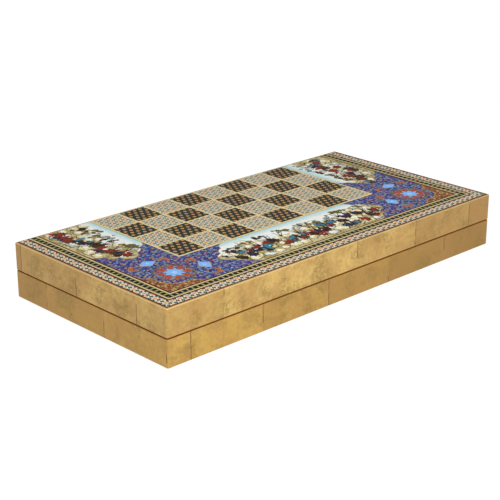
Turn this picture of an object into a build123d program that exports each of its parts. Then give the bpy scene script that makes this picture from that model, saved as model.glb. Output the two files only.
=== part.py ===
from build123d import *
import os

# Folding backgammon board that carries half a chessboard on the outside of each half.
# Two shallow trays close rim to rim and open flat about two butt hinges on one long side.
# X runs along the hinge line, +Y points to the hinge side and +Z is up. Sizes are in millimetres.
# The origin is the middle of the lower tray's outer face, on the table.
# The lower tray is modelled whole. The upper tray is its mirror image about the seam.

# The closed board
board_length = 500.0
board_width = 250.0
half_height = 30.8
seam_gap = 0.8  # between the two rims when closed, and between the two backs when open
corner_round = 2.0
edge_round = 1.2
rim_bevel = 0.6

# Rails, and the panel let into their outer edge
rail_thickness = 12.0
lip_width = 2.2
panel_thickness = 5.2
veneer_thickness = 0.8

# Loose tongues across the four mitres
tongue_thickness = 3.0
tongue_width = 10.0
tongue_inset = 8.0  # from the inner corner, along the mitre
tongue_margin = 3.5  # wood left above and below
tongue_clearance = 0.05

# Border of the decorated face, from the lip inwards
dark_line_width = 1.2
khatam_band_width = 12.0
red_line_width = 1.6
cream_line_width = 1.6
dash_band_width = 7.6
mitre_gap = 0.1

# Chess squares
square_pitch = 37.5
square_line_width = 2.2
squares_along = 8
squares_across = 4

# Playing field inside each tray
field_thickness = 0.8
points_per_end = 6
point_length = 190.0
point_width = 33.0
star_radius = 30.0

# Blocks with a round seat each, one for the first checker on each point
checker_radius = 17.0
seat_clearance = 0.5
seat_depth = 9.0
seat_block_depth = 12.0
seat_block_height = 9.0
seat_block_gap = 0.1

# Butt hinges
hinge_count = 2
hinge_pitch = 300.0
hinge_length = 45.0
knuckle_count = 5
knuckle_gap = 0.2
leaf_width = 10.0
leaf_thickness = 1.2
pin_radius = 1.2
pin_clearance = 0.05
barrel_radius = 2.4
barrel_clearance = 0.3
mortise_clearance = 0.15

# Hinge screws
screws_per_leaf = 2
screw_pitch = 28.0
screw_sides = 12  # small enough to pass for round
screw_length = 9.0
head_radius = 2.2
shank_radius = 1.1
screw_clearance = 0.05

# Bar magnet in the middle of each front rim, which holds the trays shut
magnet_length = 20.0
magnet_width = 5.0
magnet_thickness = 3.0
magnet_stand_out = 0.3
magnet_clearance = 0.05

# Places that follow from the sizes
half_length = board_length / 2
half_width = board_width / 2
inner_length = board_length - 2 * rail_thickness
inner_width = board_width - 2 * rail_thickness
panel_length = board_length - 2 * lip_width
panel_width = board_width - 2 * lip_width
rebate_depth = veneer_thickness + panel_thickness
field_top = rebate_depth + field_thickness
seam_height = half_height + seam_gap / 2
hinge_y = half_width + seam_gap / 2
face_edge = half_width - lip_width  # where the decorated face meets the hinge lip
seam_plane = Plane.XY.offset(seam_height)

khatam_start = lip_width + dark_line_width
khatam_end = khatam_start + khatam_band_width
outer_red_end = khatam_end + red_line_width
outer_cream_end = outer_red_end + cream_line_width
dash_end = outer_cream_end + dash_band_width
inner_cream_end = dash_end + cream_line_width
border_width = inner_cream_end + red_line_width

squares_end = squares_along * square_pitch / 2 + square_line_width / 2
squares_front = face_edge - squares_across * square_pitch - square_line_width / 2

seat_radius = checker_radius + seat_clearance
seat_pitch = inner_width / points_per_end
seat_x = inner_length / 2 - seat_block_depth + seat_depth - seat_radius
seat_block_x = (inner_length - seat_block_depth - seat_block_gap) / 2
seat_rows = [(row + 0.5) * seat_pitch - inner_width / 2 for row in range(points_per_end)]

hinge_places = [(index - (hinge_count - 1) / 2) * hinge_pitch for index in range(hinge_count)]
screw_row = [(index - (screws_per_leaf - 1) / 2) * screw_pitch for index in range(screws_per_leaf)]
screw_y = half_width - (leaf_width + barrel_radius) / 2
screw_places = [(x + dx, screw_y, half_height) for x in hinge_places for dx in screw_row]
magnet_y = rail_thickness / 2 - half_width

os.makedirs("parts", exist_ok=True)


def keep(part, name):
    """Labels a finished piece and writes it as its own file."""
    part.label = name
    export_step(part, f"parts/{name}.step")


# Outlines of the decorated face


def bay(inset):
    """The face inside a line that runs at that distance from the three free edges, up to the hinge lip."""
    depth = face_edge + half_width - inset
    with BuildSketch() as outline:
        with Locations((0, face_edge - depth / 2)):
            Rectangle(board_length - 2 * inset, depth)
    return outline.sketch


def border_strip(start, end):
    """A strip along the three free edges, between two distances from them."""
    outer, inner = bay(start), bay(end)
    with BuildSketch() as outline:
        add(outer)
        add(inner, mode=Mode.SUBTRACT)
    return outline.sketch


painted_bay = bay(border_width)

with BuildSketch() as chess_area:
    with Locations((0, (face_edge + squares_front) / 2)):
        Rectangle(2 * squares_end, face_edge - squares_front)

# Veneers of the lower tray's decorated face, all flush with the table

lower = {}

border_nodes = {
    "dark_line": [(lip_width, khatam_start)],
    "khatam_border": [(khatam_start, khatam_end)],
    "red_lines": [(khatam_end, outer_red_end), (inner_cream_end, border_width)],
    "cream_lines": [(outer_red_end, outer_cream_end), (dash_end, inner_cream_end)],
    "dash_border": [(outer_cream_end, dash_end)],
}
for name, strips in border_nodes.items():
    outlines = [border_strip(start, end) for start, end in strips]
    with BuildPart() as border:
        with BuildSketch():
            add(outlines)
            for side in (-1, 1):
                with Locations(Location((side * half_length, -half_width, 0), (0, 0, side * 45))):
                    Rectangle(mitre_gap, 4 * border_width, mode=Mode.SUBTRACT)
        extrude(amount=veneer_thickness)
    lower[name] = border.part

with BuildPart() as square_lines:
    with BuildSketch():
        add(chess_area.sketch)
        with Locations((0, face_edge - squares_across * square_pitch / 2)):
            with GridLocations(square_pitch, square_pitch, squares_along, squares_across):
                Rectangle(
                    square_pitch - square_line_width,
                    square_pitch - square_line_width,
                    mode=Mode.SUBTRACT,
                )
    extrude(amount=veneer_thickness)
lower["square_lines"] = square_lines.part

for name, parity in {"dark_squares": 0, "light_squares": 1}.items():
    places = [
        (
            (column + 0.5 - squares_along / 2) * square_pitch,
            face_edge - (row + 0.5) * square_pitch,
        )
        for column in range(squares_along)
        for row in range(squares_across)
        if (column + row) % 2 == parity
    ]
    with BuildPart() as squares:
        with BuildSketch():
            with Locations(*places):
                Rectangle(square_pitch - square_line_width, square_pitch - square_line_width)
        extrude(amount=veneer_thickness)
    lower[name] = squares.part

with BuildPart() as painted_field:
    with BuildSketch():
        add(painted_bay)
        add(chess_area.sketch, mode=Mode.SUBTRACT)
    extrude(amount=veneer_thickness)
lower["painted_field"] = painted_field.part

# Screws, and the countersunk bores they fill in the leaves and rails


def screw_form(clearance):
    """A countersunk screw with its head at the origin, or its bore with that much clearance."""
    with BuildPart() as form:
        with BuildSketch():
            RegularPolygon(shank_radius + clearance, screw_sides)
        extrude(amount=-screw_length - clearance)
        for depth, radius in {0: head_radius, -leaf_thickness: shank_radius}.items():
            with BuildSketch(Plane.XY.offset(depth)):
                RegularPolygon(radius + clearance, screw_sides)
        loft(ruled=True)
    return form.part


screw, screw_bore = screw_form(0), screw_form(screw_clearance)

# Panel and rails of the lower tray

with BuildPart() as panel:
    with BuildSketch(Plane.XY.offset(veneer_thickness)):
        Rectangle(panel_length, panel_width)
    extrude(amount=panel_thickness)
lower["panel"] = panel.part

tongue_height = half_height - rebate_depth - 2 * tongue_margin
tongue_middle = (half_height + rebate_depth) / 2
mitre_step = tongue_inset / 2**0.5
tongue_places = [
    Location(
        (
            end * (inner_length / 2 + mitre_step),
            side * (inner_width / 2 + mitre_step),
            tongue_middle,
        ),
        (0, 0, 45 * end * side),
    )
    for end in (-1, 1)
    for side in (-1, 1)
]

with BuildPart() as tray_frame:
    with BuildSketch():
        RectangleRounded(board_length, board_width, corner_round)
        Rectangle(inner_length, inner_width, mode=Mode.SUBTRACT)
    extrude(amount=half_height)
    faces = tray_frame.faces().sort_by(Axis.Z)
    fillet(faces[0].outer_wire().edges(), edge_round)
    chamfer(tray_frame.faces().sort_by(Axis.Z)[-1].outer_wire().edges(), rim_bevel)
    with BuildSketch():
        Rectangle(panel_length, panel_width)
    extrude(amount=rebate_depth, mode=Mode.SUBTRACT)
    with Locations(*tongue_places):
        Box(tongue_thickness, tongue_width, tongue_height, mode=Mode.SUBTRACT)
    # Beds for the hinge leaves, open to the back, and the groove that their barrels turn in
    bed_length = hinge_length + 2 * mortise_clearance
    with Locations(*[(x, half_width, half_height) for x in hinge_places]):
        Box(bed_length, 2 * (leaf_width + mortise_clearance), 2 * leaf_thickness, mode=Mode.SUBTRACT)
    with Locations(*[(x, hinge_y, seam_height) for x in hinge_places]):
        Cylinder(barrel_radius + barrel_clearance, bed_length, rotation=(0, 90, 0), mode=Mode.SUBTRACT)
    with Locations(*screw_places):
        add(screw_bore, mode=Mode.SUBTRACT)
    with Locations((0, magnet_y, half_height + magnet_stand_out)):
        Box(
            magnet_length + 2 * magnet_clearance,
            magnet_width + 2 * magnet_clearance,
            magnet_thickness,
            align=(Align.CENTER, Align.CENTER, Align.MAX),
            mode=Mode.SUBTRACT,
        )

corner_signs = [(-1, -1), (1, -1), (1, 1), (-1, 1)]
corners = [(x * half_length, y * half_width) for x, y in corner_signs]
inner_corners = [(x * inner_length / 2, y * inner_width / 2) for x, y in corner_signs]
for index, name in enumerate(["front_rail", "right_end_rail", "hinge_rail", "left_end_rail"]):
    following = (index + 1) % len(corners)
    with BuildPart() as rail:
        with BuildSketch():
            Polygon(
                corners[index],
                corners[following],
                inner_corners[following],
                inner_corners[index],
                align=None,
            )
        extrude(amount=half_height)
        add(tray_frame.part, mode=Mode.INTERSECT)
    lower[name] = rail.part

with BuildPart() as corner_tongues:
    with Locations(*tongue_places):
        Box(
            tongue_thickness - 2 * tongue_clearance,
            tongue_width - 2 * tongue_clearance,
            tongue_height - 2 * tongue_clearance,
        )
lower["corner_tongues"] = corner_tongues.part

with BuildPart() as magnet:
    with Locations((0, magnet_y, half_height + magnet_stand_out)):
        Box(
            magnet_length,
            magnet_width,
            magnet_thickness,
            align=(Align.CENTER, Align.CENTER, Align.MAX),
        )
lower["magnet"] = magnet.part

# Playing field of the lower tray, with its points and star let in flush

with BuildSketch() as field_star:
    RegularPolygon(star_radius, 4)
    RegularPolygon(star_radius, 4, rotation=45)

point_outlines = {}
for name, parity in {"dark_points": 0, "light_points": 1}.items():
    with BuildSketch() as outline:
        for row, y in enumerate(seat_rows):
            for end in (-1, 1):
                if (row + (end > 0)) % 2 == parity:
                    base = end * inner_length / 2
                    Polygon(
                        (base, y - point_width / 2),
                        (base, y + point_width / 2),
                        (base - end * point_length, y),
                        align=None,
                    )
    point_outlines[name] = outline.sketch
    with BuildPart() as points:
        with BuildSketch(Plane.XY.offset(rebate_depth)):
            add(outline.sketch)
        extrude(amount=field_thickness)
    lower[name] = points.part

with BuildPart() as star:
    with BuildSketch(Plane.XY.offset(rebate_depth)):
        add(field_star.sketch)
    extrude(amount=field_thickness)
lower["field_star"] = star.part

with BuildPart() as playing_field:
    with BuildSketch(Plane.XY.offset(rebate_depth)):
        Rectangle(inner_length, inner_width)
        add(field_star.sketch, mode=Mode.SUBTRACT)
        for outline in point_outlines.values():
            add(outline, mode=Mode.SUBTRACT)
    extrude(amount=field_thickness)
lower["playing_field"] = playing_field.part

# Rows of blocks with round seats, which hold the first checker of each point

for name, end in {"left_seat_blocks": -1, "right_seat_blocks": 1}.items():
    with BuildPart() as seat_blocks:
        with BuildSketch(Plane.XY.offset(field_top)):
            with Locations(*[(end * seat_block_x, y) for y in seat_rows]):
                Rectangle(seat_block_depth - seat_block_gap, seat_pitch - seat_block_gap)
            with Locations(*[(end * seat_x, y) for y in seat_rows]):
                Circle(seat_radius, mode=Mode.SUBTRACT)
        extrude(amount=seat_block_height)
    lower[name] = seat_blocks.part

# Hinge leaves: three knuckles of five on the lower tray, the two between them on the upper

knuckle_pitch = hinge_length / knuckle_count
knuckle_places = [(index - (knuckle_count - 1) / 2) * knuckle_pitch for index in range(knuckle_count)]


def hinge_leaf(own, others):
    """One leaf for the lower rim, centred at X = 0, with its own knuckles and room for the others."""
    plate_depth = hinge_y - half_width + leaf_width
    with BuildPart() as leaf:
        with Locations((0, hinge_y - plate_depth / 2, half_height - leaf_thickness / 2)):
            Box(hinge_length, plate_depth, leaf_thickness)
        with Locations(*[(x, hinge_y, seam_height) for x in others]):
            Cylinder(
                barrel_radius + barrel_clearance,
                knuckle_pitch + knuckle_gap,
                rotation=(0, 90, 0),
                mode=Mode.SUBTRACT,
            )
        with Locations(*[(x, hinge_y, seam_height) for x in own]):
            Cylinder(barrel_radius, knuckle_pitch - knuckle_gap, rotation=(0, 90, 0))
        with Locations((0, hinge_y, seam_height)):
            Cylinder(pin_radius + pin_clearance, hinge_length, rotation=(0, 90, 0), mode=Mode.SUBTRACT)
        with Locations(*[(x, screw_y, half_height) for x in screw_row]):
            add(screw_bore, mode=Mode.SUBTRACT)
    return leaf.part


outer_knuckles, inner_knuckles = knuckle_places[::2], knuckle_places[1::2]
lower_leaf = hinge_leaf(outer_knuckles, inner_knuckles)
other_leaf = hinge_leaf(inner_knuckles, outer_knuckles)

with BuildPart() as hinge_leaves:
    with Locations(*[(x, 0, 0) for x in hinge_places]):
        add(lower_leaf)
lower["hinge_leaves"] = hinge_leaves.part

with BuildPart() as hinge_screws:
    with Locations(*screw_places):
        add(screw)
lower["hinge_screws"] = hinge_screws.part

with BuildPart() as hinge_pins:
    with Locations(*[(x, hinge_y, seam_height) for x in hinge_places]):
        Cylinder(pin_radius, hinge_length, rotation=(0, 90, 0))
keep(hinge_pins.part, "hinge_pins")

# The upper tray mirrors the lower one. Light and dark change places, so that squares and
# points alternate across the fold, and the leaves have the knuckles that fit between.

twin_names = {
    "dark_squares": "light_squares",
    "light_squares": "dark_squares",
    "dark_points": "light_points",
    "light_points": "dark_points",
}
for name, part in lower.items():
    keep(part, f"lower_{name}")
    if name != "hinge_leaves":
        with BuildPart() as twin:
            mirror(part, about=seam_plane)
        keep(twin.part, f"upper_{twin_names.get(name, name)}")

with BuildPart() as upper_leaf:
    mirror(other_leaf, about=seam_plane)
with BuildPart() as upper_hinge_leaves:
    with Locations(*[(x, 0, 0) for x in hinge_places]):
        add(upper_leaf.part)
keep(upper_hinge_leaves.part, "upper_hinge_leaves")
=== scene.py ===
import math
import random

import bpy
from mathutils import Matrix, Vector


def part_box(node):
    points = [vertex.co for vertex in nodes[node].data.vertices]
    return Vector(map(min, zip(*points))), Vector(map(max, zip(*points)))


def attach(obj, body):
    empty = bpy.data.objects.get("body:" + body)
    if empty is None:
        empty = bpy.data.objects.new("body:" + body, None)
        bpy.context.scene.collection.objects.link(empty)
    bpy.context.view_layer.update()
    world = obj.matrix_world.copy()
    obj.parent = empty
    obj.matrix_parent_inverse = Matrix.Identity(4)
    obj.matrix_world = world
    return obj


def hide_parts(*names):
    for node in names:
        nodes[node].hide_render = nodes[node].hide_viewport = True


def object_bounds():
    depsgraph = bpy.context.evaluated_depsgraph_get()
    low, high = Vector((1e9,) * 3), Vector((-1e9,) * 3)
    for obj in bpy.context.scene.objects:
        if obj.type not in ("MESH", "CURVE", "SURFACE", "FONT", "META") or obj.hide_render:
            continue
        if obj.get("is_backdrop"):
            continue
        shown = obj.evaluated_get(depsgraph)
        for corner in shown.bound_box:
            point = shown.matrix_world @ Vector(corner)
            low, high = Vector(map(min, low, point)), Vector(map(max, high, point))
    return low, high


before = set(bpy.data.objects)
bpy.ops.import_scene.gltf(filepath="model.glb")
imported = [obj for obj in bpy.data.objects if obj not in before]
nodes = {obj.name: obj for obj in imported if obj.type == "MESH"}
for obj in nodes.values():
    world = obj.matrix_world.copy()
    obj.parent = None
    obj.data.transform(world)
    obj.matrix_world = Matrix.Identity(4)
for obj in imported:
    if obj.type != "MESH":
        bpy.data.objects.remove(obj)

# %% [markdown]
# The board is a closed folding box, seen from a corner. Its flat faces carry a chessboard, star
# marquetry and painting under varnish, and its sides are gilded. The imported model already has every
# solid in its real place, so this lesson dresses those solids. The shapes could all be painted in
# one picture and wrapped round the box. Here, what repeats exactly, as marquetry does, is worked
# out by the materials, and what a painter draws by hand is modelled as thin shapes let into the face.

MM = 0.001
cad_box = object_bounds()


def node_box(name):
    """A node's lowest and highest corners in millimetres."""
    return [[value / MM for value in corner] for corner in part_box(name)]


def select(*shapes):
    """Selects these objects only, and makes the first one active."""
    bpy.ops.object.select_all(action="DESELECT")
    for shape in shapes:
        shape.select_set(True)
    bpy.context.view_layer.objects.active = shapes[0]


(field_left, field_front, _), (field_right, field_back, face) = node_box("upper_painted_field")
(chess_left, chess_front, _), (chess_right, _, _) = node_box("upper_square_lines")
half_length = -node_box("lower_left_end_rail")[0][0]
half_width = -node_box("upper_front_rail")[0][1]
print("face at", round(face, 2), "mm, field from", round(field_left, 1), "to", round(field_right, 1), "mm")

# %% [markdown]
# Every material here is a small graph of nodes that reads the place on the board. Writing such a
# graph socket by socket hides what it draws, so a recipe keeps the tree and offers short steps:
# a sum, a soft edge, a patch of noise. Places are turned into millimetres at once, so that every
# size below is a real one.

# %% A recipe for materials


class Recipe:
    """One material's node tree, built by steps that return sockets. Lengths are in millimetres."""

    def __init__(self, name):
        self.material = bpy.data.materials.new(name)
        self.material.use_nodes = True
        self.tree = self.material.node_tree
        self.shader = self.tree.nodes["Principled BSDF"]
        coordinates = self.tree.nodes.new("ShaderNodeTexCoord")
        self.place = self.vector("MULTIPLY", coordinates.outputs["Object"], (1 / MM, 1 / MM, 1 / MM))
        self.x, self.y, self.z = self.split(self.place)

    def feed(self, socket, value):
        """Links a socket or sets a constant."""
        if isinstance(value, bpy.types.NodeSocket):
            self.tree.links.new(value, socket)
        elif isinstance(value, tuple) and socket.type == "RGBA":
            socket.default_value = (*value, 1.0)
        else:
            socket.default_value = value

    def node(self, kind, values=(), **settings):
        """Adds a node with its settings, and feeds its first inputs."""
        node = self.tree.nodes.new(kind)
        for key, value in settings.items():
            setattr(node, key, value)
        for socket, value in zip(node.inputs, values):
            self.feed(socket, value)
        return node

    def math(self, operation, *values):
        return self.node("ShaderNodeMath", values, operation=operation).outputs[0]

    def plus(self, first, second):
        return self.math("ADD", first, second)

    def minus(self, first, second):
        return self.math("SUBTRACT", first, second)

    def times(self, first, second):
        return self.math("MULTIPLY", first, second)

    def absolute(self, value):
        return self.math("ABSOLUTE", value)

    def vector(self, operation, *values):
        node = self.node("ShaderNodeVectorMath", values, operation=operation)
        return node.outputs["Value" if operation == "LENGTH" else "Vector"]

    def split(self, vector):
        return self.node("ShaderNodeSeparateXYZ", [vector]).outputs

    def join(self, x, y, z=0.0):
        return self.node("ShaderNodeCombineXYZ", [x, y, z]).outputs[0]

    def between(self, kind, factor, first, second):
        """A Mix node has a set of sockets for each kind of value, of which one is in use."""
        start, result = {"RGBA": (6, 2), "VECTOR": (4, 1)}[kind]
        node = self.node("ShaderNodeMix", [factor], data_type=kind)
        self.feed(node.inputs[start], first)
        self.feed(node.inputs[start + 1], second)
        return node.outputs[result]

    def mix(self, factor, first, second):
        """A colour between two."""
        return self.between("RGBA", factor, first, second)

    def choose(self, factor, first, second):
        """A place between two."""
        return self.between("VECTOR", factor, first, second)

    def edge(self, value, start, end):
        """0 before start, 1 after end, smooth between. Start may be the larger one."""
        ends = (start, end, 0.0, 1.0) if start <= end else (end, start, 1.0, 0.0)
        node = self.node("ShaderNodeMapRange", (value, *ends), interpolation_type="SMOOTHSTEP")
        return node.outputs[0]

    def over(self, colour, *layers):
        """Lays colours over one another. A layer is a value, the start and end of its soft edge, its
        colour and, at times, the share of it that shows."""
        for value, start, end, top, *share in layers:
            mask = self.edge(value, start, end)
            colour = self.mix(self.times(mask, share[0]) if share else mask, colour, top)
        return colour

    def noise(self, size, detail=2.0, place=None, stretch=(1, 1, 1), distortion=0.0):
        """Noise whose patches are about that many millimetres across, longer where stretched."""
        scale = tuple(1 / (size * part) for part in stretch)
        scaled = self.vector("MULTIPLY", place or self.place, scale)
        node = self.node("ShaderNodeTexNoise", [scaled])
        for name, value in (("Scale", 1.0), ("Detail", detail), ("Distortion", distortion)):
            node.inputs[name].default_value = value
        return node.outputs["Fac"]

    def finish(self, colour, roughness, bump=None, height=0.1, metal=0.0, gloss=0.5):
        """Feeds the shader. The bump's height is in millimetres."""
        values = {"Base Color": colour, "Roughness": roughness, "Metallic": metal}
        if bump is not None:
            node = self.node("ShaderNodeBump")
            node.inputs["Distance"].default_value = height * MM
            node.inputs["Strength"].default_value = 1.0
            self.feed(node.inputs["Height"], bump)
            values["Normal"] = node.outputs[0]
        for name, value in {**values, "Specular IOR Level": gloss}.items():
            self.feed(self.shader.inputs[name], value)
        return self.material


print("recipe ready")

# %% [markdown]
# Colours are written as a painter's mix from 0 to 255, and a renderer counts light, so each value is
# turned into a linear one. Most nodes come in pairs, one in each tray, and both get one material.

# %% Colours and dressing
def rgb(red, green, blue):
    """A colour mixed from 0 to 255, in linear values."""
    return tuple(
        value / 255 / 12.92 if value <= 10 else ((value / 255 + 0.055) / 1.055) ** 2.4
        for value in (red, green, blue)
    )


def dress(materials, trays=("upper", "lower")):
    """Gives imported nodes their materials, by their names without the tray."""
    for name, material in materials.items():
        for tray in trays:
            nodes[f"{tray}_{name}"].material_slots[0].material = material
    print("dressed", len(materials) * len(trays), "nodes:", ", ".join(materials))


print(len(nodes), "nodes to dress")

# %% [markdown]
# The photograph was taken with a long lens, low over one corner, so the far edges hardly shrink.
# The camera is placed by its bearing from the front, its height in degrees and its distance from the
# box.

# %% Camera
CAMERA_BEARING = -43.66
CAMERA_HEIGHT = 20.61
CAMERA_DISTANCE = 1.4698
FOCAL_PIXELS = 1317.0
PHOTO_PIXELS = 500.0
FILM_WIDTH = 36.0
TARGET_X = -27.2
TARGET_Y = -4.86


def aimed(bearing, height, distance):
    """Where something stands that looks at the box, and how it is turned."""
    bearing, height = math.radians(bearing), math.radians(height)
    flat = math.cos(height)
    way = Vector((math.sin(bearing) * flat, -math.cos(bearing) * flat, math.sin(height)))
    target = Vector((TARGET_X, TARGET_Y, face / 2)) * MM
    return {"location": target + way * distance, "rotation": way.to_track_quat("Z", "Y").to_euler()}


bpy.ops.object.camera_add(**aimed(CAMERA_BEARING, CAMERA_HEIGHT, CAMERA_DISTANCE))
camera = bpy.context.object
camera.name = "camera"
camera.data.lens = FOCAL_PIXELS / PHOTO_PIXELS * FILM_WIDTH
camera.data.sensor_width = FILM_WIDTH
camera.data.clip_end = 10
scene = bpy.context.scene
scene.camera = camera
scene.view_settings.view_transform = "Standard"
print("camera lens", round(camera.data.lens, 1), "mm")

# %% [markdown]
# The gilding is brighter on the long side than on the short one, and brightest near the middle of
# it, so a lamp stands close before it. A second lamp stands far to the left and evens out the short
# side. Both are large, because the photograph has no hard shadow.

# %% Lamps
def add_lamp(name, bearing, height, distance, size, power):
    """A square soft lamp that points at the box."""
    bpy.ops.object.light_add(type="AREA", **aimed(bearing, height, distance))
    lamp = bpy.context.object
    lamp.name = name
    lamp.data.size = size
    lamp.data.energy = power
    print(name, "of", power, "W")


add_lamp("front_lamp", bearing=-10, height=35, distance=0.92, size=0.6, power=4.8)
add_lamp("left_lamp", bearing=-100, height=50, distance=2.4, size=1.8, power=11.5)

# %% [markdown]
# The photograph's ground is pure white, but a world that bright would wash the colours out. So the
# world lights the board at less than half strength, and only what the camera sees directly, in gold
# or through glass, is white. Light Path tells these rays apart. The table does the same, and the
# rest of its colour is a plain pale surface that takes the board's shadow.

# %% World and table
WORLD_LIGHT = 0.47
TABLE_GLOW = 0.8
TABLE_WHITE = 1.14
TABLE_GREY = 0.86
TABLE_ROUGHNESS = 0.9
TABLE_RADIUS = 4.0
TABLE_GAP = 0.0002


def watched(tree):
    """1 for rays from the camera, reflections and glass, 0 for the light itself."""
    rays = tree.nodes.new("ShaderNodeLightPath")
    result = rays.outputs["Is Camera Ray"]
    for kind in ("Is Glossy Ray", "Is Transmission Ray"):
        either = tree.nodes.new("ShaderNodeMath")
        either.operation = "MAXIMUM"
        tree.links.new(result, either.inputs[0])
        tree.links.new(rays.outputs[kind], either.inputs[1])
        result = either.outputs[0]
    return result


world = bpy.data.worlds.new("studio")
scene.world = world
world.use_nodes = True
background = world.node_tree.nodes["Background"]
strength = world.node_tree.nodes.new("ShaderNodeMapRange")
strength.inputs["To Min"].default_value = WORLD_LIGHT
strength.inputs["To Max"].default_value = 1.0
world.node_tree.links.new(watched(world.node_tree), strength.inputs["Value"])
world.node_tree.links.new(strength.outputs[0], background.inputs["Strength"])
background.inputs["Color"].default_value = (1, 1, 1, 1)

bpy.ops.mesh.primitive_circle_add(
    vertices=96, radius=TABLE_RADIUS, fill_type="NGON", location=(0, 0, -TABLE_GAP)
)
table = bpy.context.object
table.name = "table"
bpy.ops.object.transform_apply(location=True)
pale = Recipe("pale_table")
pale.finish((TABLE_GREY, TABLE_GREY, TABLE_GREY), TABLE_ROUGHNESS)
glow = pale.node("ShaderNodeEmission", [(1.0, 1.0, 1.0), TABLE_WHITE])
blend = pale.node("ShaderNodeMixShader", [pale.times(watched(pale.tree), TABLE_GLOW)])
for socket, shader in zip(blend.inputs[1:], (pale.shader, glow)):
    pale.tree.links.new(shader.outputs[0], socket)
pale.tree.links.new(blend.outputs[0], pale.tree.nodes["Material Output"].inputs["Surface"])
table.data.materials.append(pale.material)
table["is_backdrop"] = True
print("table of radius", TABLE_RADIUS, "m")

# %% [markdown]
# The sides are covered with square leaves of gold, laid one after another over a brown ground. Each
# leaf has its own tone and its edge shows as a thin dark line. Light and shade are painted into the
# gold too: a painted highlight along the outer arrises, painted shade near the seam between the
# trays and on the lip, and on the short sides painted shade on the upper tray and painted light on
# the lower one. A picture of gold would show seams, so the leaves are worked out from the place along
# the side. The same solids show bare wood inside the box, which a mask by place separates.

# %% Gilded rails
LEAF = 97.0
SHADE_REACH = 1.3
RAIL = 12.0
TOP = face / 2


def along_side(r, side_gap):
    """The ends' mask, the way along the nearer side and the distance from the end of the box."""
    end_gap = r.minus(half_length, r.absolute(r.x))
    on_end = r.math("LESS_THAN", end_gap, side_gap)
    along = r.split(r.choose(on_end, r.join(r.x, 0.0), r.join(r.y, 0.0)))[0]
    return on_end, along, end_gap


def gold_leaf(name, shift, drift, phase, end_shading, bright, deep):
    """Gold leaf outside, walnut inside. The shift moves the seams and the tone drifts leaf by leaf. The
    short sides' tone is moved by a value of its own: a positive one paints them darker and a negative
    one lighter, as painted shade and painted light."""
    r = Recipe(name)
    side_gap = r.minus(half_width, r.absolute(r.y))
    on_end, along, end_gap = along_side(r, side_gap)
    wander = r.times(r.minus(r.noise(9, 3.0), 0.5), 1.6)
    run = r.plus(r.plus(along, wander), shift)
    sheet = r.math("FLOOR", r.math("DIVIDE", run, LEAF))
    in_sheet = r.times(r.math("FRACT", r.math("DIVIDE", run, LEAF)), LEAF)
    wave = r.math("SINE", r.plus(r.times(sheet, drift), phase))
    tone = r.plus(r.times(wave, 0.5), 0.5)
    # painted shade and light: the short sides are painted darker on the upper tray and lighter on the lower
    # one
    tone = r.plus(tone, r.times(on_end, end_shading))

    cloud = r.noise(30, 3.0)
    smears = r.noise(4.0, 6.0)
    grains = r.noise(0.9, 4.0)
    stain = r.noise(26, 7.0, place=r.vector("ADD", r.place, (0, 0, 31.0)))
    gold = r.over(
        r.mix(tone, bright, deep),
        (cloud, 0.34, 0.7, rgb(176, 132, 76), 0.6),
        (smears, 0.36, 0.74, rgb(164, 128, 68), 0.45),
        (grains, 0.5, 0.74, rgb(150, 114, 60), 0.4),
        (grains, 0.42, 0.24, rgb(236, 204, 138), 0.35),
        (stain, 0.46, 0.68, rgb(138, 114, 56), r.times(r.edge(smears, 0.28, 0.56), 0.5)),
        (r.noise(1.6, 5.0), 0.6, 0.7, rgb(96, 68, 30), r.edge(stain, 0.5, 0.62)),
    )

    height = r.absolute(r.minus(r.z, TOP))
    # painted highlight: the gold is painted lighter along the outer arrises, where the rounded edge catches
    # the light
    arris_highlight = r.times(r.edge(height, TOP - 1.2, TOP - 0.5), r.edge(height, TOP + 0.2, TOP - 0.2))
    gold = r.mix(r.times(arris_highlight, 0.5), gold, rgb(236, 204, 138))
    laid = r.noise(21, 2.0, place=r.vector("ADD", r.place, (0, 0, 7.0)))
    seam = r.times(r.edge(in_sheet, 1.3, 0.7), r.edge(laid, 0.46, 0.51))
    gold = r.mix(r.times(seam, 0.75), gold, rgb(86, 56, 22))
    # painted shade: close to the seam between the trays the gold is painted dark orange-brown, for the shade
    # in the gap
    gold = r.mix(r.edge(height, SHADE_REACH, 0.6), gold, rgb(146, 86, 16))
    # painted shade: the lip on top of the rails is painted a darker brownish gold, and along the front it
    # darkens towards the right end, where less light falls
    front_lip_shade = r.mix(r.edge(r.x, -half_length, half_length), rgb(172, 134, 82), rgb(118, 90, 54))
    lip_shade = r.mix(on_end, front_lip_shade, rgb(176, 136, 84))
    gold = r.mix(r.times(r.edge(height, TOP - 0.15, TOP - 0.05), 0.85), gold, lip_shade)

    behind = [r.edge(gap, RAIL - 0.6, RAIL - 0.3) for gap in (end_gap, side_gap)]
    inside = r.times(*behind)
    grain = r.noise(3.0, 4.0, stretch=(12, 12, 1), distortion=0.6)
    wood = r.mix(r.edge(grain, 0.3, 0.7), rgb(92, 56, 32), rgb(128, 82, 48))
    gold = r.mix(r.times(r.edge(height, 0.5, 0.42), 0.6), gold, wood)
    colour = r.mix(inside, gold, wood)
    bump = r.plus(r.times(smears, 0.5), r.times(seam, -0.5))
    return r.finish(colour, 0.45, bump, 0.05, metal=0.5, gloss=0.3)


gildings = {
    "upper": gold_leaf("upper_gold_leaf", 80.0, 0.9, -1.3, 0.2, rgb(216, 182, 108), rgb(174, 135, 77)),
    "lower": gold_leaf("lower_gold_leaf", 27.0, 0.6, 0.3, -0.2, rgb(204, 166, 86), rgb(158, 120, 57)),
}
for tray, gilding in gildings.items():
    dress({f"{side}_rail": gilding for side in ("front", "hinge", "left_end", "right_end")}, [tray])

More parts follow.
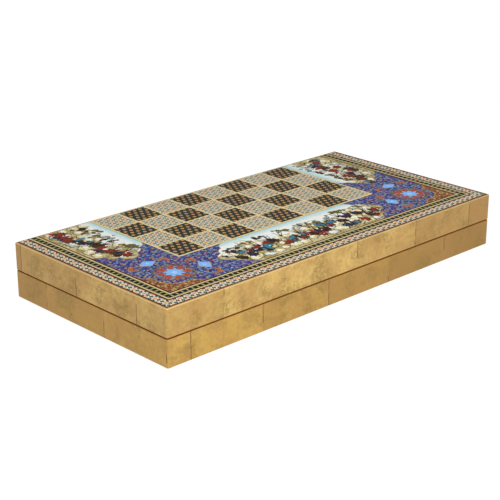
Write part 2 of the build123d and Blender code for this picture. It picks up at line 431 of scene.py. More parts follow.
# %% [markdown]
# Star marquetry, or khatam, is sawn from glued bundles of thin rods, so every star is the same and
# they tile a honeycomb. The nearest cell of a honeycomb is found by wrapping the place into two
# overlapping grids of rectangles and keeping the closer centre. From there a star needs only the
# distance to its middle, the angle round it and the distance to the cell's rim.

# %% Marquetry
ROOT3 = math.sqrt(3)


class Honeycomb:
    """The cell of a honeycomb that a place lies in, with rows along the first direction."""

    def __init__(self, r, along, across, pitch):
        half = (pitch / 2, pitch * ROOT3 / 2, 0.5)
        back = tuple(-part for part in half)
        point = r.join(along, across)
        first = r.vector("WRAP", point, half, back)
        second = r.vector("WRAP", r.vector("ADD", point, (half[0], half[1], 0)), half, back)
        nearer = r.math("LESS_THAN", r.vector("LENGTH", first), r.vector("LENGTH", second))
        local = r.choose(nearer, second, first)
        centre = r.vector("SUBTRACT", point, local)
        x, y, _ = r.split(local)
        wide, tall = r.absolute(x), r.absolute(y)
        slanted = r.plus(r.times(wide, 0.5), r.times(tall, ROOT3 / 2))
        self.reach = r.math("MAXIMUM", wide, slanted)
        self.radius = r.vector("LENGTH", local)
        self.angle = r.math("ARCTAN2", y, x)
        self.luck = r.node("ShaderNodeTexWhiteNoise", [centre]).outputs["Value"]

    def petals(self, r, depth):
        """The radius made to swell and shrink six times round the centre."""
        wave = r.math("COSINE", r.times(self.angle, 6))
        return r.plus(self.radius, r.times(wave, -depth))


# %% [markdown]
# The chessboard's light squares are cut from sheets of one star and its dark squares from another.
# Both are drawn at one pitch over the whole board, so the pattern runs on from square to square, as
# it does where neighbouring squares come from one sheet. All of it lies under the same varnish.

# %% Squares
def varnished(r, colour):
    """A colour under the varnish of the decorated face, a little uneven and with fine dust."""
    film = r.noise(6, 3.0)
    roughness = r.plus(r.times(film, 0.14), 0.34)
    return r.finish(colour, roughness, r.noise(1.3, 2.0), 0.01, gloss=0.01)


STAR_PITCH = 9.32
DOT_PITCH = 8.0


def rosettes(r, cell, line, gap, petals, heart, fullness):
    """Six-petalled stars with a full hexagon heart, dark pieces between and a line round each cell."""
    spoke = r.absolute(r.math("SINE", r.times(cell.angle, 3.0)))
    outer = r.edge(cell.radius, 0.24 * STAR_PITCH, 0.28 * STAR_PITCH)
    rim = 0.22 * fullness * STAR_PITCH
    return r.over(
        gap,
        (cell.reach, 0.452 * STAR_PITCH, 0.474 * STAR_PITCH, line),
        (cell.petals(r, 0.09 * STAR_PITCH), 0.41 * STAR_PITCH, 0.38 * STAR_PITCH, petals),
        (spoke, 0.22, 0.1, line, outer),
        (cell.reach, rim + 0.14, rim - 0.04, gap),
        (cell.reach, rim - 0.1, rim - 0.24, r.mix(cell.luck, heart, rgb(222, 170, 96))),
        (cell.reach, 0.07 * STAR_PITCH, 0.055 * STAR_PITCH, rgb(190, 104, 60)),
    )


def light_squares():
    r = Recipe("light_khatam")
    cell = Honeycomb(r, r.x, r.y, STAR_PITCH)
    petals = r.mix(cell.luck, rgb(240, 234, 210), rgb(228, 224, 204))
    colour = rosettes(r, cell, rgb(160, 158, 130), rgb(98, 110, 100), petals, rgb(226, 158, 112), 1.0)
    return varnished(r, colour)


def dark_squares():
    r = Recipe("dark_khatam")
    cell = Honeycomb(r, r.x, r.y, DOT_PITCH)
    ring = r.absolute(r.minus(cell.petals(r, -0.05 * DOT_PITCH), 0.33 * DOT_PITCH))
    dot = r.mix(cell.luck, rgb(202, 150, 116), rgb(194, 164, 106))
    colour = r.over(
        rgb(26, 30, 28),
        (cell.reach, 0.455 * DOT_PITCH, 0.475 * DOT_PITCH, rgb(64, 74, 66)),
        (ring, 0.035 * DOT_PITCH, 0.02 * DOT_PITCH, rgb(96, 84, 52)),
        (cell.reach, 0.25 * DOT_PITCH, 0.23 * DOT_PITCH, dot),
        (cell.reach, 0.08 * DOT_PITCH, 0.06 * DOT_PITCH, rgb(164, 92, 58)),
    )
    return varnished(r, colour)


# %% [markdown]
# The borders follow the edges of the board. Each needs the way along its side and the distance in
# from the rim, and the nearer side decides which one counts, so the corners come out mitred.

# %% Borders
def inset(name):
    """How far a border starts from the end of the box."""
    return half_length + node_box(name)[0][0]


def border_place(r):
    """The ends' mask, the way along the border and the distance in from its outer edge."""
    front_gap = r.plus(half_width, r.y)
    on_end, along, end_gap = along_side(r, front_gap)
    return on_end, along, r.math("MINIMUM", end_gap, front_gap)


band_start = inset("upper_khatam_border")
band_end = inset("upper_red_lines")
BAND_ROW = 11.6
print("khatam from", round(band_start, 2), "to", round(band_end, 2), "mm in from the edge")


def khatam_border():
    """The star sheet cut into strips. The end strips are cut across its rows, so their stars stand apart."""
    r = Recipe("khatam_border")
    on_end, along, inward = border_place(r)
    front = r.join(along, r.minus(inward, BAND_ROW))
    end = r.join(r.minus(inward, (band_start + band_end) / 2), along)
    across, down, _ = r.split(r.choose(on_end, front, end))
    cell = Honeycomb(r, across, down, STAR_PITCH)
    petals = rgb(255, 251, 234)
    colour = rosettes(r, cell, rgb(130, 134, 112), rgb(26, 40, 38), petals, rgb(238, 166, 114), 1.1)
    colour = r.over(
        colour,
        (inward, band_start + 0.9, band_start + 0.7, rgb(96, 48, 26)),
        (inward, band_end - 0.9, band_end - 0.7, rgb(84, 20, 28)),
    )
    return varnished(r, colour)


dash_start = inset("upper_dash_border")
DASH_WIDTH = 7.6
DASH = 6.69
DASH_HALF = 2.5


def dash_border():
    """Dark blocks side by side, with a slim pale piece between two and a pale line on either hand."""
    r = Recipe("dash_border")
    _, along, inward = border_place(r)
    local = r.absolute(r.math("WRAP", along, DASH / 2, -DASH / 2))
    across = r.absolute(r.minus(inward, dash_start + DASH_WIDTH / 2))
    side = r.minus(DASH_HALF + 0.25, r.times(across, 0.22))
    beyond = r.minus(local, side)
    gem = r.plus(r.minus(DASH / 2, local), r.times(across, 0.35))
    colour = r.over(
        rgb(140, 136, 88),
        (across, 2.9, 3.05, rgb(60, 66, 40)),
        (across, 3.3, 3.45, rgb(184, 174, 126)),
        (beyond, 0.0, -0.25, rgb(20, 22, 20), r.edge(across, 2.75, 2.6)),
        (gem, 0.7, 0.5, rgb(214, 198, 140)),
    )
    return varnished(r, colour)


# %% [markdown]
# Thin lines of dyed wood part the borders. They and the sheets above are given to both trays.

# %% Inlays
def stringing(name, colour, worn):
    """A thin line of dyed wood with its fibres along it."""
    r = Recipe(name)
    return varnished(r, r.over(colour, (r.noise(0.6, 3.0), 0.35, 0.75, worn)))


inlays = {
    "light_squares": light_squares(),
    "dark_squares": dark_squares(),
    "khatam_border": khatam_border(),
    "dash_border": dash_border(),
    "dark_line": stringing("dark_line", rgb(58, 24, 14), rgb(36, 16, 12)),
    "red_lines": stringing("red_line", rgb(92, 16, 24), rgb(64, 12, 20)),
    "cream_lines": stringing("cream_line", rgb(226, 210, 156), rgb(200, 184, 124)),
    "square_lines": stringing("square_line", rgb(240, 222, 164), rgb(222, 196, 134)),
}
dress(inlays)

# %% [markdown]
# The blue field and the russet corners are strewn with small flowers on curling stems, too many to
# model. A cell pattern scatters them: every cell has one point, and the distance and angle from
# that point draw its petals. Thin bands of noise make the stems.

# %% Painted grounds


class Scatter:
    """Places strewn over the face, one in each irregular cell, with the way from the nearest."""

    def __init__(self, r, spacing, offset):
        flat = r.vector("ADD", r.vector("MULTIPLY", r.place, (1, 1, 0)), (offset, offset, 0))
        cells = r.node("ShaderNodeTexVoronoi", [flat], voronoi_dimensions="2D")
        cells.inputs["Scale"].default_value = 1 / spacing
        cells.inputs["Randomness"].default_value = 0.8
        self.luck, _, turn = r.split(cells.outputs["Color"])
        x, y, _ = r.split(r.vector("SUBTRACT", flat, cells.outputs["Position"]))
        self.radius = r.vector("LENGTH", r.join(x, y))
        self.angle = r.plus(r.math("ARCTAN2", y, x), r.times(turn, 2 * math.pi))

    def petals(self, r, count, depth):
        """The radius, divided so that a level of 1 draws petals of radius 1."""
        wave = r.math("COSINE", r.times(self.angle, count))
        return r.math("DIVIDE", self.radius, r.plus(r.times(wave, depth), 1.0))


def painted_ground(name, dark, light, stem_colour, leaves, blossoms):
    """A ground strewn with small blossoms, leaves and curling stems."""
    r = Recipe(name)
    flat = r.vector("MULTIPLY", r.place, (1, 1, 0))
    stem = r.absolute(r.minus(r.noise(5.0, 1.0, place=flat, distortion=1.2), 0.5))
    layers = [(r.noise(4.0, 3.0), 0.3, 0.7, light), (stem, 0.026, 0.012, stem_colour)]
    for index, leaf_colour in enumerate(leaves):
        cells = Scatter(r, 3.6, 11.0 + 23.0 * index)
        layers.append((cells.petals(r, 2, 0.55), 0.66, 0.56, leaf_colour))
    for index, (first, second) in enumerate(blossoms):
        cells = Scatter(r, 6.2, 5.0 + 37.0 * index)
        outline = cells.petals(r, 6, 0.22)
        bloom = r.mix(r.edge(cells.luck, 0.5, 0.52), first, second)
        layers += [(outline, 1.62, 1.5, dark), (outline, 1.4, 1.28, bloom)]
        layers.append((cells.radius, 0.55, 0.45, stem_colour))
    _, _, inward = border_place(r)
    rim = inset("upper_painted_field") + 0.8
    layers.append((inward, rim + 0.1, rim - 0.1, rgb(92, 18, 26)))
    return varnished(r, r.over(dark, *layers))


print("painted grounds ready")

# %% [markdown]
# The painter's work is thin shapes, one over another, each about as thick as paint. A shape starts
# as a round primitive with one corner for each point of its outline. What repeats, such as a leaf,
# is modelled once and stamped in many places, each copy with its own mesh. Solidify then gives every
# layer a thickness, so the export has closed pieces and no loose sheets. The ground lies a little
# below the face, and the top layer just reaches it.

# %% Flat shapes
GROUND = face - 0.17
LAYER = 0.08
MERGE = 0.001
lower_twins = []


def merged_copy(name):
    """A new object with a node's mesh, its doubled corners merged. It carries none of the node's notes."""
    copy = bpy.data.objects.new(f"{name}_copy", nodes[name].data.copy())
    bpy.context.collection.objects.link(copy)
    select(copy)
    bpy.ops.object.mode_set(mode="EDIT")
    bpy.ops.mesh.select_all(action="SELECT")
    bpy.ops.mesh.remove_doubles(threshold=MERGE * MM)
    bpy.ops.object.mode_set(mode="OBJECT")
    return copy


def joined(shapes, name, material):
    """Shapes as one object with one material."""
    select(*shapes)
    if len(shapes) > 1:
        bpy.ops.object.join()
    shapes[0].name = name
    shapes[0].data.materials.clear()
    shapes[0].data.materials.append(material)
    return shapes[0]


def flat_shape(outline):
    """A flat shape with the outline's points, in millimetres, at height 0."""
    bpy.ops.mesh.primitive_circle_add(vertices=len(outline), radius=1, fill_type="NGON")
    shape = bpy.context.object
    for vertex, (x, y) in zip(shape.data.vertices, outline):
        vertex.co = (x * MM, y * MM, 0)
    return shape


def stamp(master, places):
    """Copies a shape to places, each of x, y, turn, width, depth and lift, and takes the master away."""
    copies = []
    for x, y, turn, width, depth, lift in places:
        copy = master.copy()
        copy.data = master.data.copy()
        move = Matrix.Translation((x * MM, y * MM, lift * MM))
        copy.data.transform(move @ Matrix.Rotation(turn, 4, "Z") @ Matrix.Diagonal((width, depth, 1, 1)))
        bpy.context.collection.objects.link(copy)
        copies.append(copy)
    bpy.data.objects.remove(master)
    return copies


def lay(name, shapes, material, level):
    """Joins shapes into one painted layer of the upper face and notes it for the lower face."""
    layer = joined(shapes, f"upper_{name}", material)
    layer.data.transform(Matrix.Translation((0, 0, level * MM)))
    for polygon in layer.data.polygons:
        if polygon.normal.z < 0:
            polygon.flip()
    thick = layer.modifiers.new("thickness", "SOLIDIFY")
    thick.thickness = LAYER * MM
    thick.offset = -1
    bpy.ops.object.modifier_apply(modifier=thick.name)
    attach(layer, "upper_tray")
    lower_twins.append(layer)


print("ground at", round(GROUND, 2), "mm, layers", LAYER, "mm thick")

# %% [markdown]
# Every outline is a list of points worked out by a few lines of geometry. Most are a circle whose
# radius is changed on the way round: it jumps for a star, and swells and shrinks for a flower.

# %% Outlines
PINCH = 1.8


def turns(count, phase=0.0):
    """Evenly spaced angles round a circle."""
    return [phase + 2 * math.pi * index / count for index in range(count)]


def wheel(radii, phase=0.0):
    """Points round a circle, one for each radius."""
    angles = turns(len(radii), phase)
    return [(radius * math.cos(turn), radius * math.sin(turn)) for radius, turn in zip(radii, angles)]


def star(tips, outer, inner):
    """A star's outline, tips and notches in turn."""
    return wheel([outer, inner] * tips)


def flower(petals, depth, count, phase=0.0, radius=1.0):
    """A round outline with soft petals."""
    swells = [1 - depth / 2 + depth / 2 * math.cos(petals * turn) for turn in turns(count)]
    return wheel([radius * swell for swell in swells], phase)


def leaf(steps=5):
    """A pointed leaf from the origin to X = 1, with its greatest half width 0.5."""
    upper = [(i / steps, 0.5 * math.sin(math.pi * (i / steps) ** 0.8)) for i in range(steps + 1)]
    return upper + [(x, -y) for x, y in reversed(upper[1:-1])]


def kite(length, width):
    """Four points with hollow sides between them."""
    pinched = [[math.copysign(abs(part) ** PINCH, part) for part in point] for point in wheel([1] * 20)]
    return [(x * length / 2, y * width / 2) for x, y in pinched]


def spread(first, last, count):
    """Evenly spaced values from the first to the last."""
    return [first + (last - first) * index / (count - 1) for index in range(count)]


def crescent(radius, steps=9):
    """A crescent whose hollow faces +X."""
    outer_turns = spread(0.8, 2 * math.pi - 0.8, steps)
    inner_turns = spread(2 * math.pi - 1.3, 1.3, steps)
    hollow = radius * 0.68
    bite = radius / 2
    outer = [(radius * math.cos(turn), radius * math.sin(turn)) for turn in outer_turns]
    return outer + [(bite + hollow * math.cos(turn), hollow * math.sin(turn)) for turn in inner_turns]


def scallops(start, end, count, rise, steps=6):
    """Lobes from start towards end that bulge to the left by the rise. The end point is left out."""
    run = Vector(end) - Vector(start)
    left = Vector((-run.y, run.x)).normalized()
    points = []
    for lobe in range(count):
        for step in range(steps):
            share = step / steps
            swell = rise * math.sin(math.pi * share)
            point = Vector(start) + run * (lobe + share) / count + left * swell
            points.append((point.x, point.y))
    return points


def put(outline, place, angle=0.0, size=1.0):
    """An outline scaled, turned about the origin and moved to a place."""
    cosine, sine = math.cos(angle) * size, math.sin(angle) * size
    return [(x * cosine - y * sine + place[0], x * sine + y * cosine + place[1]) for x, y in outline]


print("a leaf has", len(leaf()), "points")

# %% [markdown]
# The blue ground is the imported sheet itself, copied, and sunk a little so that the painting over it
# ends flush with the inlay. Its colour is strewn with fine blossoms and stems by the material,
# because there are thousands, and no two of them need to be told apart.

# %% Blue ground
blue = painted_ground(
    "blue_ground",
    rgb(40, 26, 104),
    rgb(54, 42, 138),
    rgb(78, 112, 158),
    [rgb(84, 128, 144), rgb(132, 108, 122)],
    [(rgb(142, 176, 210), rgb(182, 122, 112)), (rgb(112, 158, 172), rgb(186, 160, 104))],
)
ground = joined([merged_copy("upper_painted_field")], "upper_blue_ground", blue)
for vertex in ground.data.vertices:
    vertex.co.z = min(vertex.co.z, GROUND * MM)
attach(ground, "upper_tray")
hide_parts("upper_painted_field")
lower_twins.append(ground)
print("ground replaces the packed sheet")

# %% [markdown]
# Pictures lie in cartouches: long panels with pointed ends that swell in three lobes a side. One lies
# whole in front of the chessboard, and one at each end is cut in half by the fold, so that the open
# board shows it whole. A picture is drawn once in its own place, with u along it and w from the
# border to the chessboard, and a small function lays it on the board.

# %% Cartouches
PICTURE_STRAIGHT = 92.0
PICTURE_TIP = 125.0
LOBES = 3
LOBE_RISE = 2.6
FIELD_DEPTH = chess_front - field_front
END_DEPTH = chess_left - field_left
FOLD_LINE = half_width - field_back
RIM = 0.7


def cartouche(first_u, rim=0.0):
    """A picture's outline. It is whole if it starts left of its middle, and else it is cut by the fold."""
    low, high = rim, FIELD_DEPTH - rim
    tip = (PICTURE_TIP - 2 * rim, FIELD_DEPTH / 2)
    right = scallops((PICTURE_STRAIGHT, low), tip, LOBES, -LOBE_RISE)
    right += scallops(tip, (PICTURE_STRAIGHT, high), LOBES, -LOBE_RISE)
    right.append((PICTURE_STRAIGHT, high))
    if first_u < 0:
        return right + [(-u, w) for u, w in reversed(right)]
    return right + [(first_u, high), (first_u, low)]


def in_cartouche(u, w, margin):
    """Whether a place lies in the picture, at least a margin from its edge."""
    middle = FIELD_DEPTH / 2
    narrowing = min(1.0, max(0.0, (PICTURE_TIP - abs(u)) / (PICTURE_TIP - PICTURE_STRAIGHT)))
    return abs(w - middle) < middle * narrowing - margin


def front_place(u, w):
    return u, field_front + w


def left_place(u, w):
    return field_left + w * END_DEPTH / FIELD_DEPTH, half_width - u


def right_place(u, w):
    return field_right - w * END_DEPTH / FIELD_DEPTH, half_width - u


print("cartouches", round(2 * PICTURE_TIP), "by", round(FIELD_DEPTH, 1), "mm")

# %% [markdown]
# The corners of the field repeat one design: a star medallion ringed by petals, small kites and
# crescents round it, and a russet corner piece with a lobed edge. Each motif is a stack of shapes,
# where the gold shape under a blue one shows as its outline.

# %% Corners and their paints
corners = {-1: (field_left, field_front), 1: (field_right, field_front)}


def corner_shapes(outlines):
    """Flat shapes in both corners, for outlines counted inwards from the field's corner."""
    return [
        flat_shape([(corner_x - side * x, corner_y + y) for x, y in outline])
        for side, (corner_x, corner_y) in corners.items()
        for outline in outlines
    ]


def enamel(name, colour, deep):
    """A painted colour with the brush's unevenness."""
    r = Recipe(name)
    return varnished(r, r.over(colour, (r.noise(1.6, 3.0), 0.3, 0.72, deep)))


gold_paint = enamel("gold_paint", rgb(196, 158, 84), rgb(150, 112, 52))
sky_blue = enamel("sky_blue", rgb(146, 200, 255), rgb(112, 166, 246))
pale_blue = enamel("pale_blue", rgb(196, 222, 250), rgb(150, 196, 240))
brick = enamel("brick_red", rgb(192, 84, 58), rgb(150, 62, 46))
amber = enamel("amber", rgb(192, 112, 68), rgb(150, 80, 46))
olive_gold = enamel("olive_gold", rgb(140, 116, 76), rgb(86, 66, 84))

russet = painted_ground(
    "russet_ground",
    rgb(98, 52, 32),
    rgb(130, 78, 46),
    rgb(186, 148, 86),
    [rgb(190, 152, 88), rgb(84, 36, 44)],
    [(rgb(196, 162, 110), rgb(92, 44, 60)), (rgb(178, 104, 66), rgb(206, 178, 118))],
)
print("six enamels and a russet ground")

# %% [markdown]
# Shapes that overlap in the corner design lie a hundredth of a millimetre apart, which is enough for
# the renderer to tell which is on top.

# %% Corner motifs
LIFT = 0.01
CUSPS = [(55.0, 0.0), (39.0, 10.0), (15.5, 15.5), (10.0, 39.0), (0.0, 55.0)]
CUSP_RISE = 2.6
SPANDREL_RIM = 1.0
CORNER_STAR = (37.5, 37.5)
HALO_ROUND = 18.9
HALO_LEAF = 4.6
PETAL_ROUND = 14.6
PETAL_WIDTH = 4.2
PETAL_LENGTH = 5.2
PETAL_RIM = 0.13
STAR_RADIUS = 11.8
NOTCH = 0.62
STAR_HEART = 3.4
KITE_HEART = 2.0
THIN_RIM = 0.8
KITES = [((33.0, 74.5), 0.0), ((74.5, 33.0), math.pi / 2)]
KITE_LENGTH = 20
KITE_WIDTH = 14
KITE_RIM = 2.5
CRESCENTS = [((13.0, 71.7), -0.6), ((52.0, 71.0), 3.9), ((71.3, 51.7), 3.9), ((72.0, 11.7), 2.2)]
MOON = 5.4


def round_star(radius, turn):
    """A place at some distance from the middle of the corner's star."""
    return CORNER_STAR[0] + radius * math.cos(turn), CORNER_STAR[1] + radius * math.sin(turn)


def spandrels(rim):
    outline = [(0.0, 0.0)]
    grown = [(x + rim * (x > 0), y + rim * (y > 0)) for x, y in CUSPS]
    for start, end in zip(grown, grown[1:]):
        outline += scallops(start, end, 1, CUSP_RISE, 7)
    return [outline + [grown[-1]]]


def petals(rim):
    bloom = [(x * PETAL_WIDTH, y * PETAL_LENGTH) for x, y in flower(3, 0.36, 18, math.pi)]
    return [put(bloom, round_star(PETAL_ROUND, turn), turn, 1 + rim) for turn in turns(8, math.pi / 8)]


def stars(rim):
    long, wide = KITE_LENGTH + KITE_RIM * rim, KITE_WIDTH + KITE_RIM * rim
    tips = put(star(8, STAR_RADIUS + rim, STAR_RADIUS * NOTCH + rim), CORNER_STAR)
    return [tips] + [put(kite(long, wide), place, angle) for place, angle in KITES]


def crescents(rim):
    return [put(crescent(MOON + rim), place, angle) for place, angle in CRESCENTS]


def rimmed(name, outlines, rim, paint, lift):
    """A motif over a gold one of the same form that is grown by a rim."""
    lay(f"{name}_rims", corner_shapes(outlines(rim)), gold_paint, GROUND + lift * LIFT)
    lay(f"{name}s", corner_shapes(outlines(0)), paint, GROUND + (lift + 1) * LIFT)


rimmed("spandrel", spandrels, SPANDREL_RIM, russet, 2)
halo = [put(leaf(), round_star(HALO_ROUND, turn), turn, HALO_LEAF) for turn in turns(24)]
lay("medallion_halo", corner_shapes(halo), olive_gold, GROUND + 4 * LIFT)
rimmed("medallion_petal", petals, PETAL_RIM, brick, 5)
rimmed("star", stars, THIN_RIM, sky_blue, 7)
hearts = [put(flower(8, 0.3, 32, radius=STAR_HEART), CORNER_STAR)]
hearts += [put(flower(6, 0.3, 24, radius=KITE_HEART), place) for place, _ in KITES]
lay("star_hearts", corner_shapes(hearts), pale_blue, GROUND + 9 * LIFT)
rimmed("crescent", crescents, THIN_RIM, amber, 7)
print("corner motifs:", len(lower_twins) - 1, "layers")

# %% [markdown]
# Each cartouche holds a landscape of rocks, trees and bushes, in the colours of a miniature: cream
# stone, turquoise sky and small spots of brick red, teal and navy. A miniature has no haze: each
# form has a dark edge, and what is nearer is simply painted over what is farther. The chances are
# drawn from one seed, so they never change.

# %% Sky and stone
STEP = 0.006
SKYLINE = 45.0
chances = random.Random(11)
views = {
    "front": (front_place, 0.0, -PICTURE_TIP),
    "left": (left_place, -math.pi / 2, FOLD_LINE),
    "right": (right_place, math.pi / 2, FOLD_LINE),
}


def skyline(u):
    return SKYLINE + 7 * math.sin(u / 14 + 0.6) + 3 * math.sin(u / 6.5)


def below_gold(first_u):
    """A cartouche inside its gold rim."""
    return cartouche(first_u, RIM)


def sky_outline(first_u):
    """The part of a cartouche above the skyline."""
    rim = [(u, w) for u, w in below_gold(first_u) if w > skyline(u)]
    return rim + [(u, skyline(u)) for u in spread(rim[-1][0], rim[0][0], 60)]


def sky_material():
    """Turquoise at the chessboard's side, paling downwards."""
    r = Recipe("painted_sky")
    beside = r.minus(r.absolute(r.x), chess_right)
    below = r.minus(chess_front, r.y)
    depth = r.plus(r.math("MAXIMUM", beside, below), r.times(r.noise(9, 3.0), 5.0))
    sky = r.over(
        rgb(140, 214, 230),
        (depth, 1.5, 6.5, rgb(196, 228, 230)),
        (depth, 6.5, 14.0, rgb(242, 244, 238)),
        (r.noise(3.5, 4.0), 0.5, 0.75, rgb(150, 168, 172), 0.35),
    )
    return varnished(r, sky)


def stone(name, pale, warm, shade):
    """Painted stone, mottled with warm and olive washes."""
    r = Recipe(name)
    washes = [(r.noise(12, 2.0), 0.42, 0.58, warm), (r.noise(3.0, 5.0), 0.5, 0.66, shade, 0.75)]
    return varnished(r, r.over(pale, *washes))


dark_ink = enamel("dark_ink", rgb(58, 46, 30), rgb(84, 68, 40))
meadow = stone("meadow", rgb(206, 194, 146), rgb(172, 154, 100), rgb(114, 104, 60))
cream_stone = stone("cream_stone", rgb(240, 230, 188), rgb(222, 206, 148), rgb(160, 146, 96))
grey_stone = stone("grey_stone", rgb(226, 228, 218), rgb(190, 196, 186), rgb(138, 138, 118))
panels = {
    "rims": (cartouche, gold_paint),
    "grounds": (below_gold, meadow),
    "skies": (sky_outline, sky_material()),
}
for step, (name, (outline, paint)) in enumerate(panels.items(), start=2):
    shapes = [
        flat_shape([place(u, w) for u, w in outline(first_u)]) for place, _, first_u in views.values()
    ]
    lay(f"picture_{name}", shapes, paint, GROUND + step * STEP)
print("three cartouches with sky and meadow")

# %% [markdown]
# Rocks, trees and flowers come from five outlines, stamped again and again in different paints, as
# a brush gives the same stroke each time. Each outline is drawn round its middle, so that a circle
# about its origin holds it as closely as a circle can.

# %% Stamps and paints
boulder = [(x * 0.5, y * 0.42 - 0.02 * abs(x)) for x, y in flower(5, 0.22, 20, 0.4)]
tuft = flower(7, 0.3, 28, radius=0.62)
trunk = [(-0.05, -0.5), (0.05, -0.5), (0.03, 0), (0.05, 0.5), (0.02, 0.5), (-0.02, 0)]
spire = [(y, x - 0.5) for x, y in leaf(8)]
blossom = flower(5, 0.4, 20, radius=0.8)
soot = enamel("dark_brown", rgb(54, 28, 24), rgb(28, 18, 16))
cherry = enamel("cherry", rgb(164, 50, 40), rgb(116, 30, 28))
navy = enamel("navy", rgb(40, 40, 88), rgb(22, 24, 50))
teal = enamel("teal", rgb(64, 150, 176), rgb(34, 104, 130))
olive = enamel("olive_foliage", rgb(128, 122, 58), rgb(84, 84, 38))
mist = enamel("misty_foliage", rgb(176, 184, 176), rgb(128, 140, 134))
chalk = enamel("chalk", rgb(250, 248, 236), rgb(236, 228, 196))
brushwork = {
    "rock_shadows": (boulder, dark_ink),
    "cream_rocks": (boulder, cream_stone),
    "grey_rocks": (boulder, grey_stone),
    "rock_crests": (boulder, chalk),
    "tuft_shadows": (tuft, dark_ink),
    "dark_tufts": (tuft, soot),
    "red_tufts": (tuft, cherry),
    "teal_tufts": (tuft, teal),
    "navy_tufts": (tuft, navy),
    "olive_tufts": (tuft, olive),
    "misty_tufts": (tuft, mist),
    "spire_shadows": (spire, dark_ink),
    "red_spires": (spire, cherry),
    "navy_spires": (spire, navy),
    "teal_spires": (spire, teal),
    "dark_spires": (spire, soot),
    "trunks": (trunk, soot),
    "red_flowers": (blossom, cherry),
    "pale_flowers": (blossom, chalk),
    "teal_flowers": (blossom, teal),
}
print(len(brushwork), "kinds of stamp")

# %% [markdown]
# Two stamps at one height would fight for the same surface and render black, so each stamp lies one
# coat above every stamp that it touches. What stands side by side is painted in two or three
# passes. In one pass, each rock would lie a coat above its neighbour, and the row would climb like a
# stair.

# %% Painting order
marks = []


def mark(kind, view, u, w, size, turn=0.0, slim=1.0):
    """Notes a stamp, if it lies well inside its picture, one coat above what it touches."""
    place, up, first_u = views[view]
    if not in_cartouche(u, w, size * 0.45) or u - size * 0.5 < first_u:
        return
    x, y = place(u, w)
    if view == "right":
        turn = -turn
    reach = size * max(math.hypot(px * slim, py) for px, py in brushwork[kind][0])
    coats = [other["coat"] for other in marks if math.dist(other["at"], (x, y)) < other["reach"] + reach]
    coat = max(coats, default=0) + 1
    form = (up + turn, size * slim, size)
    marks.append({"kind": kind, "at": (x, y), "form": form, "reach": reach, "coat": coat})


def in_passes(values, passes):
    """Values in an order that leaves room between two of the same pass."""
    return [value for first in range(passes) for value in values[first::passes]]


def strides(start, end, shortest, longest):
    """Irregular steps from start to end."""
    values = [start]
    while values[-1] < end:
        values.append(values[-1] + chances.uniform(shortest, longest))
    return values


def rock(view, u, w, size):
    """One rock with a dark edge below and a pale crest."""
    turn, slim = chances.uniform(-0.6, 0.6), chances.uniform(0.9, 1.35)
    mark("rock_shadows", view, u + 0.3, w - 0.4, size * 1.12, turn, slim)
    mark("grey_rocks" if chances.random() < 0.35 else "cream_rocks", view, u, w, size, turn, slim)
    mark("rock_crests", view, u - size * 0.1, w + size * 0.12, size * 0.55, turn, slim)


def scattered(u, w, count, reach, size):
    """Places round a middle, each with a size of its own."""
    for _ in range(count):
        spot = (u + chances.gauss(0, reach), w + chances.gauss(0, reach * 0.6))
        yield spot, size * chances.uniform(0.7, 1.25)


def bush(view, kind, u, w, count):
    """A group of leafy tufts over one broad shadow."""
    reach, size = 3.2, 4.2
    mark("tuft_shadows", view, u, w, 1.9 * reach + size, chances.uniform(0, 3), 1.3)
    for spot, grown in scattered(u, w, count, reach, size):
        mark(kind, view, *spot, grown, chances.uniform(0, 3))


def crown(view, kind, u, w, count):
    """A loose crown of tufts, each over its own shadow."""
    for spot, grown in scattered(u, w, count, reach=4.2, size=3.6):
        mark("tuft_shadows", view, *spot, grown * 1.25, chances.uniform(0, 3))
        mark(kind, view, *spot, grown, chances.uniform(0, 3))


print("stamps lie in pictures", round(FIELD_DEPTH, 1), "mm deep")

# %% [markdown]
# The landscape is built from the skyline down, as it is painted: rows of rocks, thickets among
# them, trees whose crowns stand against the sky, and at last single flowers.

# %% Rocks, trees and bushes
ROCK_ROWS = [(41.5, 12.0, 12.0), (33.5, 14.0, 13.5), (23.0, 15.0, 15.0), (11.0, 14.0, 13.5)]
BUSHES = ["dark_tufts", "dark_tufts", "red_tufts", "red_tufts", "teal_tufts", "navy_tufts"]
SPIRES = ["red_spires", "red_spires", "navy_spires", "teal_spires", "dark_spires"]
CROWNS = ["olive_tufts", "olive_tufts", "misty_tufts", "dark_tufts"]
FLOWERS = ["red_flowers", "pale_flowers", "teal_flowers"]


def boulders(view, first_u):
    """Rows of rocks that follow the skyline less and less."""
    for row, (level, gap, size) in enumerate(ROCK_ROWS):
        count = int((PICTURE_TIP - first_u) / gap)
        for index in in_passes(range(count), 2):
            u = first_u + gap * (index + 0.4 + chances.uniform(-0.2, 0.2))
            w = level + chances.uniform(-3, 3) + (skyline(u) - SKYLINE) * (1 - row / 3)
            rock(view, u, w, size * chances.uniform(0.75, 1.3))


def thickets(view, first_u):
    """Bushes and spire trees in dark and bright paint, set in groups among the rocks."""
    for u in in_passes(strides(first_u + 5, PICTURE_TIP - 8, 6, 9), 3):
        w = chances.choice([13, 20, 27, 34])
        bush(view, chances.choice(BUSHES), u, w, chances.randint(4, 7))
        if chances.random() < 0.7:
            spire = chances.choice(SPIRES)
            for side in (-1, 1)[: chances.randint(1, 2)]:
                tall = chances.uniform(9, 15)
                spot = (u + side * chances.uniform(2.5, 5), w + chances.uniform(2, 7))
                mark("spire_shadows", view, *spot, tall * 1.1, side * 0.12, 0.42)
                mark(spire, view, *spot, tall, side * 0.12, 0.36)


